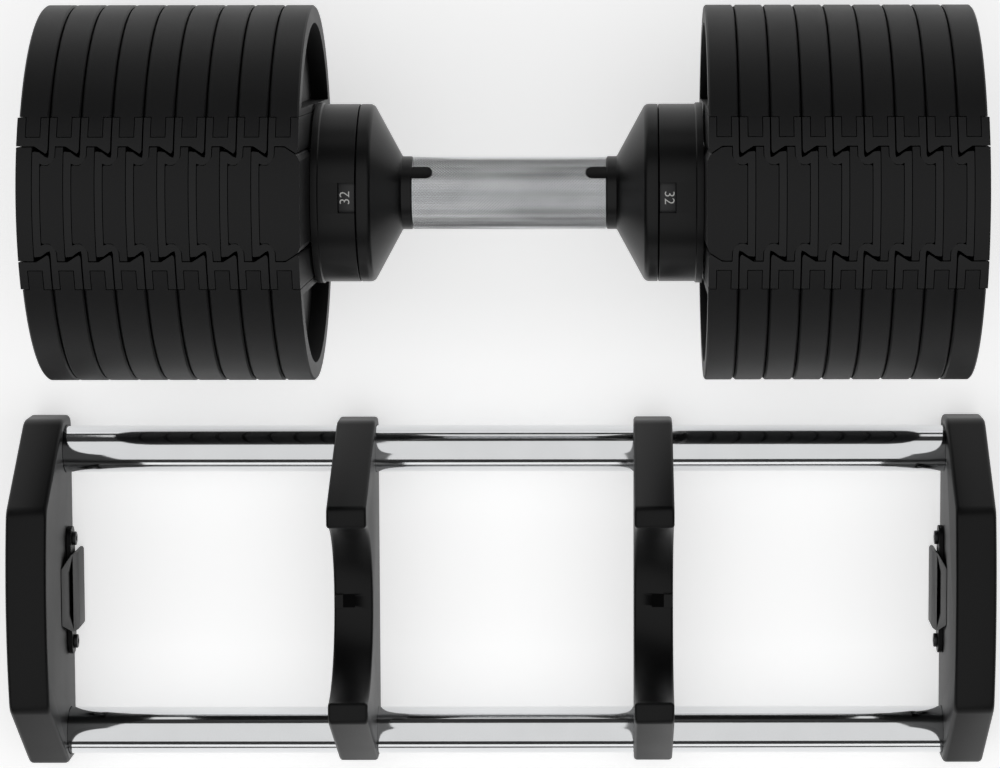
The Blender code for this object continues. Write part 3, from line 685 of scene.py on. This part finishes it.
def dial_ring(word, side):
    """Turned, with the inside radius let out by the notch's depth between each notch's edges."""
    angles = np.concatenate([index * STEP_ANGLE + math.pi + NOTCH_ANGLES for index in range(SETTINGS)])
    in_notch = np.tile(np.abs(NOTCH_ANGLES) < NOTCH_HALF, SETTINGS)
    x, profile_r = np.array(arced(DIAL, 3), float).T
    radius = np.tile(profile_r, (len(angles), 1))
    radius[np.ix_(in_notch, np.abs(profile_r - RING_INNER_R) < 0.01)] = NOTCH_R
    points = np.stack(turned(side * x, radius, angles[:, None]), -1)
    return closed(put(f"{word}_dial", points.reshape(-1, 3), woven(len(angles), len(x)), DIAL_FINISH))


def flat_figures(number):
    """A number's figures as a thin flat mesh, cut across in even steps so that it can be bent."""
    text = bpy.data.curves.new("figures", "FONT")
    text.body = str(number)
    text.align_x = "CENTER"
    text.size = CAP_HEIGHT / CAP_TO_SIZE
    text.extrude = 0.5
    text.offset = -0.05
    holder = bpy.data.objects.new("figures", text)
    bpy.context.scene.collection.objects.link(holder)
    graph = bpy.context.evaluated_depsgraph_get()
    mesh = bpy.data.meshes.new_from_object(holder.evaluated_get(graph))
    bpy.data.objects.remove(holder, do_unlink=True)
    bm = bmesh.new()
    bm.from_mesh(mesh)
    bmesh.ops.remove_doubles(bm, verts=bm.verts, dist=0.001)
    for level in FIGURE_CUTS:
        split(bm, (level, 0, 0), (1, 0, 0), dist=SPLIT_WITHIN)
    bm.to_mesh(mesh)
    bm.free()
    return mesh


def numerals(word, side):
    """Every setting's figures in one mesh, bent round the ring.

    Angle = the setting's own - distance across / ring's radius, and radius = ring's + the ink's.
    """
    merged = bmesh.new()
    for index in range(SETTINGS):
        def round_ring(across, up, high):
            out = NUMERALS_OUT + (up - CAP_HEIGHT / 2)
            radius = RING_R + INK_THICK * (high - 0.25)
            return turned(side * out, radius, index * STEP_ANGLE - side * across / RING_R)
        mesh = bent(flat_figures(2 * (SETTINGS - index)), round_ring)
        merged.from_mesh(mesh)
        bpy.data.meshes.remove(mesh)
    mesh = bpy.data.meshes.new(f"{word}_numerals")
    bmesh.ops.recalc_face_normals(merged, faces=merged.faces)
    merged.to_mesh(mesh)
    merged.free()
    return shown(f"{word}_numerals", mesh, INK)


for word, side in SIDES.items():
    fitted(dial_ring(word, side), "handle", "dial_plastic", f"{word}_number_ring")
    fitted(numerals(word, side), "handle", "dial_plastic")

# ------------------------------------------------------------------ drums
# Each drum is screwed to the innermost plate and carries the handle on its hub: a window on top
# shows the setting, and a pocket below lets the cradle's lug in to push the lock pin.

DRUM = [
    (67.4, 38.8, 0), (67.4, DRUM_R, 0.4), (83.6, DRUM_R, 0.3), (84.2, 40.95, 0.3), (87.0, 40.95, 0),
    (87.0, 0.0, 0), (67.6, 0.0, 0), (67.6, 16.0, 0.3), (81.0, 16.0, 0), (81.0, 38.8, 0),
]
WINDOW_END, WINDOW_HALF = 74.9, 6.75
HUB_BORE_R, HUB_FLAT = 10.6, 0.1
LOCK_X, LOCK_R = 77.5, 2.3
BOSS_X = (75.2, 82.0)
BOSSES = {5.5: (-39.4, -34.9), 4.0: (-24.0, -21.0)}
LUG_POCKET = ((75.6, 80.2), (-4.0, 4.0), (-45.0, -38.9))

for word, side in SIDES.items():
    drum = revolved(f"{word}_drum", arced(DRUM, 4), side, HOUSING_FINISH, 144)
    bosses = [
        block("boss", out_from(side, 0, BOSS_X), (-half, half), tall, finish=HOUSING_FINISH)
        for half, tall in BOSSES.items()
    ]
    carved(drum, *bosses, operation="UNION")
    lock_hole = rod("lock_hole", LOCK_R, (30.0, 42.0), 24, (0.0, 0.0, 0.0))
    lock_hole.data.transform(Matrix.Rotation(math.pi / 2, 4, "Y"))
    lock_hole.data.transform(Matrix.Translation((AXIS[0] + MM * side * LOCK_X, AXIS[1], AXIS[2])))
    carved(
        drum,
        half_rod("hub_bore", HUB_BORE_R, out_from(side, 0, (66.0, 88.0)), side * HUB_FLAT, side),
        block("window", out_from(side, 0, (66.0, WINDOW_END)), (-WINDOW_HALF, WINDOW_HALF), (30.0, 45.0)),
        block("lug_pocket", out_from(side, 0, LUG_POCKET[0]), *LUG_POCKET[1:]),
        lock_hole,
    )
    closed(drum)
    eased(drum, 0.3)
    fitted(drum, "dumbbell", "housing_plastic", f"{word}_housing")

# ------------------------------------------------------------------ cradle's bars
# Two round bars, polished and chromed, tapped at their ends for the screws.

CRADLE = ((cad_low.x + cad_high.x) / 2, -0.09825, 0.0)
BAR_Y, BAR_Z, BAR_R, BAR_HALF = 68.5, 18.5, 11.1, 221.4
BAR_HOLE_R = 11.45
TAPPED_DEEP, TAPPED_R = 16, 3.0
BAR_FINISH = bright_chrome("polished_bar_chrome", (0.70, 0.71, 0.72), (0.80, 0.81, 0.82), 0.05, 0.07)
ROWS_OF_BARS = {"rear": 1, "front": -1}

for row, way in ROWS_OF_BARS.items():
    middle = (CRADLE[0], CRADLE[1] + MM * way * BAR_Y, MM * BAR_Z)
    half_bar = [
        (BAR_HALF, BAR_R, 0.8), (BAR_HALF, TAPPED_R, 0), (BAR_HALF - TAPPED_DEEP, TAPPED_R, 0),
        (BAR_HALF - TAPPED_DEEP, 0.0, 0),
    ]
    profile = arced([(-x, radius, ease) for x, radius, ease in reversed(half_bar)] + half_bar, 3)
    bar = revolved(f"{row}_bar", profile, 1, BAR_FINISH, 96, middle)
    fitted(bar, "cradle", "bar_chrome", f"cradle_{row}_bar")

# ------------------------------------------------------------------ cradle's brackets
# Four thick mouldings in satin black, rounded at their edges: the end ones take the bars in
# blind sockets with a screw from outside, the middle ones slide over them and seat the drums.

def satin_moulding():
    """Satin black moulding with a shallow spark-eroded grain."""
    finish = Finish("black_satin_moulding", Specular_IOR_Level=0.2)
    fine = finish.grain(1700.0, 3.0)
    broad = finish.grain(30.0, 3.0)
    finish.feed(
        Base_Color=finish.between(broad, (0.002, 0.002, 0.0021), (0.004, 0.004, 0.0042)),
        Roughness=0.33 + 0.1 * broad + 0.06 * fine,
    )
    return finish.bumped(fine, 0.16, 0.08).material


BRACKET_FINISH = satin_moulding()
END_IN, END_OUT = 210.0, 229.0
SADDLE_IN, SADDLE_OUT = 61.5, 80.0
SADDLE_R, SADDLE_Z, SADDLE_TOP = 40.8, 88.2, 86.0
BASE_Z = 2.5
CROWN_HALF, CROWN_RISE, CROWN_TOP = 47.0, 5.0, 80.0
LUG = ((75.6, 79.7), (-3.1, 3.1), (44.0, 48.9))
LUG_STEP = ((70.0, 77.0), (-3.1, 3.1), (44.5, 47.75))
SCREW_HOLE_R, COUNTERBORE_R, COUNTERBORE_DEEP = 3.3, 6.0, 3.5


def across_cradle(x_range):
    """Carries an outline in (y, z) from one distance along the cradle to another."""
    def lift(u, v, up):
        x = x_range[0] + (x_range[1] - x_range[0]) * up
        return CRADLE[0] + MM * x, CRADLE[1] + MM * u, MM * v
    return lift


def arc_points(radius, start, end, steps, centre):
    """Points (y, z, no rounding) on an arc between two angles in degrees."""
    angle = np.radians(np.linspace(start, end, steps + 1))
    return [(centre[0] + radius * math.cos(a), centre[1] + radius * math.sin(a), 0) for a in angle]


def end_outline():
    """An end bracket's outline; its crown's radius is (half width^2 + rise^2) / twice the rise."""
    radius = (CROWN_HALF**2 + CROWN_RISE**2) / (2 * CROWN_RISE)
    spread = math.degrees(math.asin(CROWN_HALF / radius))
    crown = arc_points(radius, 90 - spread, 90 + spread, 16, (0.0, CROWN_TOP - radius))
    crown[0], crown[-1] = (*crown[0][:2], 9.0), (*crown[-1][:2], 9.0)
    right = [(83.5, BASE_Z, 6.0), (83.5, 26.0, 12.0)]
    return arced(right + crown + [(-a, b, r) for a, b, r in reversed(right)], 6)


def saddle_outline():
    """A middle bracket's outline, with the drum's seat let into its top."""
    edge = math.degrees(math.asin((SADDLE_TOP - SADDLE_Z) / SADDLE_R))
    seat = arc_points(SADDLE_R, edge, -180 - edge, 60, (0.0, SADDLE_Z))
    flank = [(82.5, BASE_Z, 6.0), (82.5, 24.0, 12.0), (50.0, SADDLE_TOP, 4.0)]
    return arced(flank + seat + [(-a, b, r) for a, b, r in reversed(flank)], 6)


def bar_holes(x_range):
    """The tools for both bars' holes between two distances along the cradle."""
    return [rod("bar_hole", BAR_HOLE_R, x_range, 64, CRADLE, (way * BAR_Y, BAR_Z)) for way in (1, -1)]


for word, side in SIDES.items():
    reach = out_from(side, 0, (END_IN, END_OUT))
    bracket = slab(f"{word}_end_bracket", end_outline(), [], across_cradle(reach), BRACKET_FINISH)
    settled(eased(bracket, 2.0, 4, 60.0))
    tools = bar_holes(out_from(side, END_IN, (-2, 12)))
    screw_reach = out_from(side, 0, (END_IN + 5, END_OUT + 5))
    head_reach = out_from(side, END_OUT, (-COUNTERBORE_DEEP, 5))
    for way in (1, -1):
        at = (way * BAR_Y, BAR_Z)
        tools.append(rod("screw_hole", SCREW_HOLE_R, screw_reach, 32, CRADLE, at))
        tools.append(rod("counterbore", COUNTERBORE_R, head_reach, 48, CRADLE, at))
    closed(carved(bracket, *tools))
    fitted(bracket, "cradle", "cradle_plastic", f"cradle_{word}_end")

    reach = out_from(side, 0, (SADDLE_IN, SADDLE_OUT))
    bracket = slab(f"{word}_saddle", saddle_outline(), [], across_cradle(reach), BRACKET_FINISH)
    settled(eased(bracket, 1.6, 4, 60.0))
    lug, step = [
        block("lug", out_from(side, 0, along), across, tall, CRADLE, BRACKET_FINISH)
        for along, across, tall in (LUG, LUG_STEP)
    ]
    carved(bracket, lug, step, operation="UNION")
    closed(carved(bracket, *bar_holes(out_from(side, 0, (SADDLE_IN - 2, SADDLE_OUT + 2)))))
    fitted(bracket, "cradle", "cradle_plastic", f"cradle_{word}_saddle")

# ------------------------------------------------------------------ guides and feet
# A hollow flared channel, moulded with two round ears and screwed to each end bracket, leads the
# last plate's dovetail in; a rubber strip under each end bracket keeps the cradle still.

WALL, TIP = 209.7, 204.8
GUIDE_BASE, GUIDE_TOP, GUIDE_LIP, GUIDE_SLOPE = 4.0, 42.0, 9.0, 35.0 / 7.9
HOLLOW_BASE, HOLLOW_TOP = 6.0, 60.0
CHANNEL = [(WALL, 13.5, 0.5), (TIP, 22.5, 1.2), (TIP, -22.5, 1.2), (WALL, -13.5, 0.5)]
HOLLOW = [(WALL - 1.6, 10.2, 0.2), (TIP + 1.8, 18.2, 0), (TIP + 1.8, -18.2, 0), (WALL - 1.6, -10.2, 0.2)]
EAR_Y, EAR_Z, EAR_R, EAR_THICK = 25.0, 18.0, 6.0, 2.0
EAR_TURNS = np.linspace(-1.57, 1.57, 13)
FOOT = ((214.0, 225.0), (-72, 72), (0.0, 2.2))


def upright(side, base, top):
    """Stands a plan (distance out, y) up between a base and a top that may slope with distance."""
    def lift(u, v, up):
        height = np.where(up > 0.5, top(u), base)
        return CRADLE[0] + MM * side * u, CRADLE[1] + MM * v, MM * height
    return lift


def guide_top(u):
    """The guide's top slopes down from the wall to its tip."""
    return np.minimum(GUIDE_TOP, GUIDE_LIP + (u - TIP + 2.0) * GUIDE_SLOPE)


def moulded_rubber():
    """Moulded rubber, dull and a little dusty."""
    finish = Finish("foot_rubber_black")
    dust = finish.grain(220.0, 5.0)
    finish.feed(
        Base_Color=finish.between(dust, (0.02, 0.02, 0.02), (0.045, 0.044, 0.043)),
        Roughness=0.72 + 0.2 * dust,
    )
    return finish.bumped(dust, 0.2, 0.1).material


RUBBER_FINISH = moulded_rubber()

for word, side in SIDES.items():
    channel_reach = upright(side, GUIDE_BASE, guide_top)
    guide = slab(f"{word}_guide", arced(CHANNEL, 3), [], channel_reach, BRACKET_FINISH)
    right_ear = [(EAR_Y + EAR_R * math.cos(a), EAR_Z + EAR_R * math.sin(a)) for a in EAR_TURNS]
    ears = right_ear + [(-u, v) for u, v in reversed(right_ear)]
    ear_reach = across_cradle(out_from(side, 0, (WALL - EAR_THICK, WALL)))
    carved(guide, slab("ears", ears, [], ear_reach, BRACKET_FINISH), operation="UNION")
    hollow_reach = upright(side, HOLLOW_BASE, lambda u: HOLLOW_TOP + 0 * u)
    carved(guide, slab("hollow", arced(HOLLOW, 3), [], hollow_reach, BRACKET_FINISH))
    eased(closed(guide), 0.35)
    fitted(guide, "cradle", "cradle_plastic", f"cradle_{word}_guide")
    foot = block(f"{word}_foot", out_from(side, 0, FOOT[0]), *FOOT[1:], CRADLE, RUBBER_FINISH)
    closed(foot)
    fitted(eased(foot, 0.5), "cradle", "foot_rubber", f"cradle_{word}_foot")

# ------------------------------------------------------------------ screws
# Black socket screws: one through each end bracket into each bar, and one in each guide's ear.

def screw_steel():
    """Blackened steel, oiled, with brighter worn edges in its grain."""
    finish = Finish("blackened_screw_steel", Metallic=0.85)
    wear = finish.grain(500.0, 4.0)
    finish.feed(
        Base_Color=finish.between(wear, (0.02, 0.02, 0.022), (0.06, 0.06, 0.062)),
        Roughness=0.3 + 0.2 * wear,
    )
    return finish.material


SCREW_FINISH = screw_steel()


BAR_SCREW = {"head": (5.4, 3.2), "length": 17.0, "radius": 2.8, "socket": 2.5}
GUIDE_SCREW = {"head": (3.3, 1.8), "length": 1.6, "radius": 1.5, "socket": 1.5}


def socket_screw(name, start, way_out, at, head, length, radius, socket):
    """A socket screw along X: a round-edged head with a hexagon in it, and a plain shank."""
    head_r, head_high = head
    profile = arced(
        [(-length, 0.0, 0), (-length, radius, 0), (0.0, radius, 0), (0.0, head_r, 0.2),
         (head_high, head_r, 0.4), (head_high, 0.0, 0)], 3
    )
    middle = (CRADLE[0] + MM * start, CRADLE[1] + MM * at[0], MM * at[1])
    screw = revolved(name, profile, way_out, SCREW_FINISH, 48, middle)
    bottom, mouth = head_high * 0.35, head_high + 2
    key = [(bottom, 0.0), (bottom, socket), (mouth, socket), (mouth, 0.0)]
    carved(screw, revolved("key", key, way_out, SCREW_FINISH, 6, middle))
    return closed(screw)


for word, side in SIDES.items():
    for row, way in ROWS_OF_BARS.items():
        start, at = side * (END_OUT - 3.45), (way * BAR_Y, BAR_Z)
        screw = socket_screw(f"{word}_{row}_bar_screw", start, side, at, **BAR_SCREW)
        fitted(screw, "cradle", "machined_steel")
        start, at = side * (WALL - 2.05), (way * EAR_Y, EAR_Z)
        screw = socket_screw(f"{word}_{row}_guide_screw", start, -side, at, **GUIDE_SCREW)
        fitted(screw, "cradle", "machined_steel")

# ------------------------------------------------------------------ works inside the handle
# The half-round selector shafts, the sleeve whose grooves drive them, the lock pins and their
# springs: bare machined steel, lightly oiled, as it left the lathe.

def machined_steel(name, low, high):
    """Bare steel with the fine lines of turning running round X."""
    finish = Finish(name, Metallic=1.0)
    stretch = finish.node("ShaderNodeMapping", Vector=finish.place, Scale=(9.0, 0.6, 0.6))
    lines = finish.grain(350.0, 5.0, stretch)
    finish.feed(Base_Color=finish.between(lines, low, high), Roughness=0.24 + 0.16 * lines)
    return finish.bumped(lines, 0.08, 0.03).material


STEEL_FINISH = machined_steel("oiled_machined_steel", (0.38, 0.38, 0.38), (0.56, 0.56, 0.55))
SPRING_FINISH = machined_steel("drawn_spring_wire", (0.34, 0.34, 0.35), (0.48, 0.48, 0.49))
WORKS = {"cam_sleeve": STEEL_FINISH}
for word in SIDES:
    WORKS[f"{word}_selector_shaft"] = STEEL_FINISH
    WORKS[f"{word}_lock_pin"] = STEEL_FINISH
    WORKS[f"{word}_lock_spring"] = SPRING_FINISH
for node, finish in WORKS.items():
    frame["nodes"][node].data.materials.clear()
    frame["nodes"][node].data.materials.append(finish)

# ------------------------------------------------------------------ floor, light and camera
# A plain pale floor under soft studio light, seen from well above the front of the cradle.

floor_paint = Finish("pale_floor")
mottle = floor_paint.grain(3.0, 2.0)
floor_paint.feed(
    Base_Color=floor_paint.between(mottle, (0.84, 0.84, 0.84), (0.87, 0.87, 0.87)),
    Roughness=0.75 + 0.1 * mottle,
)
floor_paint.shader.inputs["Emission Color"].default_value = (1.0, 1.0, 1.0, 1.0)
floor_paint.shader.inputs["Emission Strength"].default_value = 0.52
HALF_FLOOR = 4000.0
floor = put(
    "floor",
    [[MM * a * HALF_FLOOR, MM * b * HALF_FLOOR, -0.0001] for a, b in ((-1, -1), (1, -1), (1, 1), (-1, 1))],
    [(0, 1, 2, 3)],
    floor_paint.material,
)


def softbox(name, place, aim, size, power):
    """An oblong soft light at a place in metres, turned to face a point."""
    lamp = bpy.data.lights.new(name, "AREA")
    lamp.shape = "RECTANGLE"
    lamp.size, lamp.size_y = size
    lamp.energy = power
    holder = bpy.data.objects.new(name, lamp)
    holder.location = place
    holder.rotation_euler = (Vector(aim) - Vector(place)).to_track_quat("-Z", "Y").to_euler()
    holder.visible_camera = False
    bpy.context.scene.collection.objects.link(holder)


softbox("overhead_softbox", (0.0, -0.25, 2.1), (0.0, -0.25, 0.0), (5.5, 4.4), 62.0)
softbox("front_softbox", (0.0, -3.2, 0.9), (0.0, 0.0, 0.1), (3.0, 0.8), 8.0)
softbox("rear_softbox", (0.0, 3.4, 1.0), (0.0, 0.0, 0.1), (3.0, 0.8), 6.0)

world = bpy.data.worlds.new("studio")
world.use_nodes = True
world.node_tree.nodes["Background"].inputs["Color"].default_value = (1.0, 1.0, 1.0, 1.0)
world.node_tree.nodes["Background"].inputs["Strength"].default_value = 0.04
bpy.context.scene.world = world
bpy.context.scene.view_settings.view_transform = "Standard"

lens = bpy.data.cameras.new("camera")
lens.lens = 114.81
lens.sensor_width = 36.0
lens.shift_x, lens.shift_y = -0.12, -0.0887
lens.dof.use_dof = False
camera = bpy.data.objects.new("camera", lens)
camera.location = (0.0527, 0.1841, 1.5322)
camera.rotation_euler = [math.radians(angle) for angle in (-5.3, -0.095, -0.048)]
bpy.context.scene.collection.objects.link(camera)
bpy.context.scene.camera = camera
